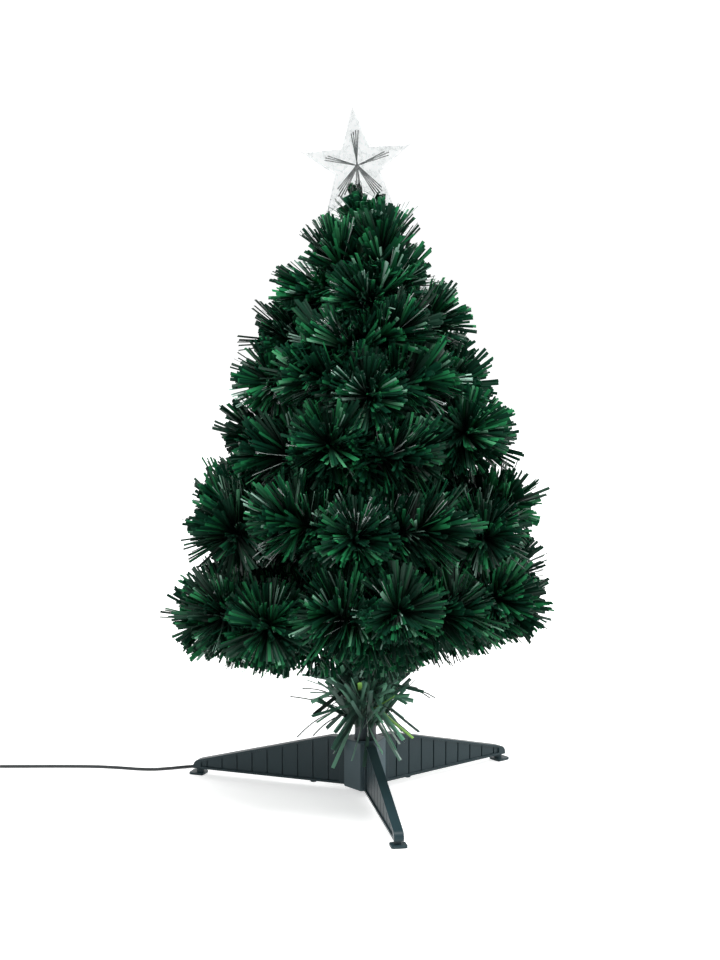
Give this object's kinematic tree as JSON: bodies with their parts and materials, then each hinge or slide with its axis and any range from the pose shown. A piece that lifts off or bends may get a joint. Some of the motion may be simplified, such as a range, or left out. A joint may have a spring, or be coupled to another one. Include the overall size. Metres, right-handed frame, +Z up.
{
  "type": "artificial christmas tree",
  "caption": "Table-top artificial Christmas tree with bendable needle branches, light fibres, a clear star and a three-legged plug-in stand.",
  "frame": {"origin": "on the floor under the trunk's axis, in the middle of the three feet", "axes": "+Z up along the trunk; the front faces -Y"},
  "size_m": [0.6198, 0.3612, 0.6399],
  "materials": {
    "needle_film": "cut PVC film needles, slightly glossy",
    "stand_plastic": "satin moulded plastic",
    "trunk_plastic": "smooth satin",
    "cap_plastic": "satin",
    "clear_plastic": "polished, clear",
    "light_fibre": "polished, clear",
    "cord_cover": "soft PVC, satin",
    "adaptor_plastic": "fine spark texture",
    "circuit_board": "solder resist",
    "ferrule_metal": "drawn",
    "pin_metal": "nickel plated"
  },
  "bodies": {
    "stand": {"stand_hub": "stand_plastic", "lamp_base_cap": "stand_plastic", "lamp_housing": "adaptor_plastic", "lamp_board": "circuit_board", "lamp_lens": "clear_plastic", "cord_relief": "cord_cover", "cord_run": "cord_cover", "cord_coil": "cord_cover", "cord_tie": "cord_cover", "adaptor_relief": "cord_cover", "adaptor_body": "adaptor_plastic", "adaptor_cover": "adaptor_plastic", "adaptor_pin_lower": "pin_metal", "adaptor_pin_upper": "pin_metal"},
    "front leg": {"leg_front": "stand_plastic", "foot_front": "stand_plastic"},
    "right leg": {"leg_right": "stand_plastic", "foot_right": "stand_plastic"},
    "left leg": {"leg_left": "stand_plastic", "foot_left": "stand_plastic"},
    "tree": {"trunk_tube": "trunk_plastic", "fibre_ferrule": "ferrule_metal", "fibre_bundle": "light_fibre", "trunk_needle_wrap": "needle_film", "trunk_top_cap": "cap_plastic", "crown_needles": "needle_film"},
    "star": {"star_front_shell": "clear_plastic", "star_back_shell": "clear_plastic", "star_stem": "clear_plastic", "star_fibres": "light_fibre"},
    "branch row1 1": {"branch_row1_1": "needle_film"},
    "branch row1 2": {"branch_row1_2": "needle_film"},
    "branch row1 3": {"branch_row1_3": "needle_film"},
    "branch row1 4": {"branch_row1_4": "needle_film"},
    "branch row1 5": {"branch_row1_5": "needle_film"},
    "branch row2 1": {"branch_row2_1": "needle_film"},
    "branch row2 2": {"branch_row2_2": "needle_film"},
    "branch row2 3": {"branch_row2_3": "needle_film"},
    "branch row2 4": {"branch_row2_4": "needle_film"},
    "branch row3 1": {"branch_row3_1": "needle_film"},
    "branch row3 2": {"branch_row3_2": "needle_film"},
    "branch row3 3": {"branch_row3_3": "needle_film"},
    "branch row4 1": {"branch_row4_1": "needle_film"},
    "branch row4 2": {"branch_row4_2": "needle_film"},
    "branch row4 3": {"branch_row4_3": "needle_film"},
    "branch row5 1": {"branch_row5_1": "needle_film"},
    "branch row5 2": {"branch_row5_2": "needle_film"},
    "branch row5 3": {"branch_row5_3": "needle_film"},
    "branch row6 1": {"branch_row6_1": "needle_film"},
    "branch row6 2": {"branch_row6_2": "needle_film"},
    "branch row7 1": {"branch_row7_1": "needle_film"},
    "branch row7 2": {"branch_row7_2": "needle_film"},
    "branch row7 3": {"branch_row7_3": "needle_film"}
  },
  "joints": [
    {"name": "leg_front_slide", "type": "slide", "parent": "stand", "child": "front leg", "axis": [0, 0, -1], "range_m": [0, 0.045]},
    {"name": "leg_right_slide", "type": "slide", "parent": "stand", "child": "right leg", "axis": [0, 0, -1], "range_m": [0, 0.045]},
    {"name": "leg_left_slide", "type": "slide", "parent": "stand", "child": "left leg", "axis": [0, 0, -1], "range_m": [0, 0.045]},
    {"name": "tree_lift", "type": "slide", "parent": "stand", "child": "tree", "axis": [0, 0, 1], "range_m": [0, 0.04]},
    {"name": "star_lift", "type": "slide", "parent": "tree", "child": "star", "axis": [-0.0785, 0, 0.9969], "range_m": [0, 0.05]},
    {"name": "branch_row1_1_bend", "type": "hinge", "parent": "tree", "child": "branch row1 1", "pos_m": [0.0027, -0.01272, 0.14994], "axis": [-0.9781, -0.2079, 0], "range_deg": [-18, 60], "deforming": ["branch_row1_1"]},
    {"name": "branch_row1_2_bend", "type": "hinge", "parent": "tree", "child": "branch row1 2", "pos_m": [0.01293, -0.00136, 0.14994], "axis": [-0.1045, -0.9945, 0], "range_deg": [-18, 60], "deforming": ["branch_row1_2"]},
    {"name": "branch_row1_3_bend", "type": "hinge", "parent": "tree", "child": "branch row1 3", "pos_m": [0.00529, 0.01188, 0.14994], "axis": [0.9135, -0.4067, 0], "range_deg": [-18, 60], "deforming": ["branch_row1_3"]},
    {"name": "branch_row1_4_bend", "type": "hinge", "parent": "tree", "child": "branch row1 4", "pos_m": [-0.00966, 0.0087, 0.14994], "axis": [0.6691, 0.7431, 0], "range_deg": [-18, 60], "deforming": ["branch_row1_4"]},
    {"name": "branch_row1_5_bend", "type": "hinge", "parent": "tree", "child": "branch row1 5", "pos_m": [-0.01126, -0.0065, 0.14994], "axis": [-0.5, 0.866, 0], "range_deg": [-18, 60], "deforming": ["branch_row1_5"]},
    {"name": "branch_row2_1_bend", "type": "hinge", "parent": "tree", "child": "branch row2 1", "pos_m": [-0.00091, -0.01297, 0.23814], "axis": [-0.9976, 0.0698, 0], "range_deg": [-18, 60], "deforming": ["branch_row2_1"]},
    {"name": "branch_row2_2_bend", "type": "hinge", "parent": "tree", "child": "branch row2 2", "pos_m": [0.01297, -0.00091, 0.23814], "axis": [-0.0698, -0.9976, 0], "range_deg": [-18, 60], "deforming": ["branch_row2_2"]},
    {"name": "branch_row2_3_bend", "type": "hinge", "parent": "tree", "child": "branch row2 3", "pos_m": [0.00091, 0.01297, 0.23814], "axis": [0.9976, -0.0698, 0], "range_deg": [-18, 60], "deforming": ["branch_row2_3"]},
    {"name": "branch_row2_4_bend", "type": "hinge", "parent": "tree", "child": "branch row2 4", "pos_m": [-0.01297, 0.00091, 0.23814], "axis": [0.0698, 0.9976, 0], "range_deg": [-18, 60], "deforming": ["branch_row2_4"]},
    {"name": "branch_row3_1_bend", "type": "hinge", "parent": "tree", "child": "branch row3 1", "pos_m": [-0.00402, -0.01236, 0.31213], "axis": [-0.9511, 0.309, 0], "range_deg": [-20, 60], "deforming": ["branch_row3_1"]},
    {"name": "branch_row3_2_bend", "type": "hinge", "parent": "tree", "child": "branch row3 2", "pos_m": [0.01272, 0.0027, 0.31213], "axis": [0.2079, -0.9781, 0], "range_deg": [-20, 60], "deforming": ["branch_row3_2"]},
    {"name": "branch_row3_3_bend", "type": "hinge", "parent": "tree", "child": "branch row3 3", "pos_m": [-0.0087, 0.00966, 0.31213], "axis": [0.7431, 0.6691, 0], "range_deg": [-20, 60], "deforming": ["branch_row3_3"]},
    {"name": "branch_row4_1_bend", "type": "hinge", "parent": "tree", "child": "branch row4 1", "pos_m": [0.00045, -0.01299, 0.36603], "axis": [-0.9994, -0.0349, 0], "range_deg": [-20, 60], "deforming": ["branch_row4_1"]},
    {"name": "branch_row4_2_bend", "type": "hinge", "parent": "tree", "child": "branch row4 2", "pos_m": [0.01103, 0.00689, 0.36603], "axis": [0.5299, -0.848, 0], "range_deg": [-20, 60], "deforming": ["branch_row4_2"]},
    {"name": "branch_row4_3_bend", "type": "hinge", "parent": "tree", "child": "branch row4 3", "pos_m": [-0.01148, 0.0061, 0.36603], "axis": [0.4695, 0.8829, 0], "range_deg": [-20, 60], "deforming": ["branch_row4_3"]},
    {"name": "branch_row5_1_bend", "type": "hinge", "parent": "tree", "child": "branch row5 1", "pos_m": [0, -0.013, 0.41209], "axis": [-1, 0, 0], "range_deg": [-20, 50], "deforming": ["branch_row5_1"]},
    {"name": "branch_row5_2_bend", "type": "hinge", "parent": "tree", "child": "branch row5 2", "pos_m": [0.01126, 0.0065, 0.41209], "axis": [0.5, -0.866, 0], "range_deg": [-20, 50], "deforming": ["branch_row5_2"]},
    {"name": "branch_row5_3_bend", "type": "hinge", "parent": "tree", "child": "branch row5 3", "pos_m": [-0.01126, 0.0065, 0.41209], "axis": [0.5, 0.866, 0], "range_deg": [-20, 50], "deforming": ["branch_row5_3"]},
    {"name": "branch_row6_1_bend", "type": "hinge", "parent": "tree", "child": "branch row6 1", "pos_m": [0.00836, -0.00996, 0.44982], "axis": [-0.766, -0.6428, 0], "range_deg": [-15, 40], "deforming": ["branch_row6_1"]},
    {"name": "branch_row6_2_bend", "type": "hinge", "parent": "tree", "child": "branch row6 2", "pos_m": [-0.00836, 0.00996, 0.44982], "axis": [0.766, 0.6428, 0], "range_deg": [-15, 40], "deforming": ["branch_row6_2"]},
    {"name": "branch_row7_1_bend", "type": "hinge", "parent": "tree", "child": "branch row7 1", "pos_m": [0.01126, -0.0065, 0.47579], "axis": [-0.5, -0.866, 0], "range_deg": [-15, 25], "deforming": ["branch_row7_1"]},
    {"name": "branch_row7_2_bend", "type": "hinge", "parent": "tree", "child": "branch row7 2", "pos_m": [0, 0.013, 0.47579], "axis": [1, 0, 0], "range_deg": [-15, 25], "deforming": ["branch_row7_2"]},
    {"name": "branch_row7_3_bend", "type": "hinge", "parent": "tree", "child": "branch row7 3", "pos_m": [-0.01126, -0.0065, 0.47579], "axis": [-0.5, 0.866, 0], "range_deg": [-15, 25], "deforming": ["branch_row7_3"]}
  ]
}
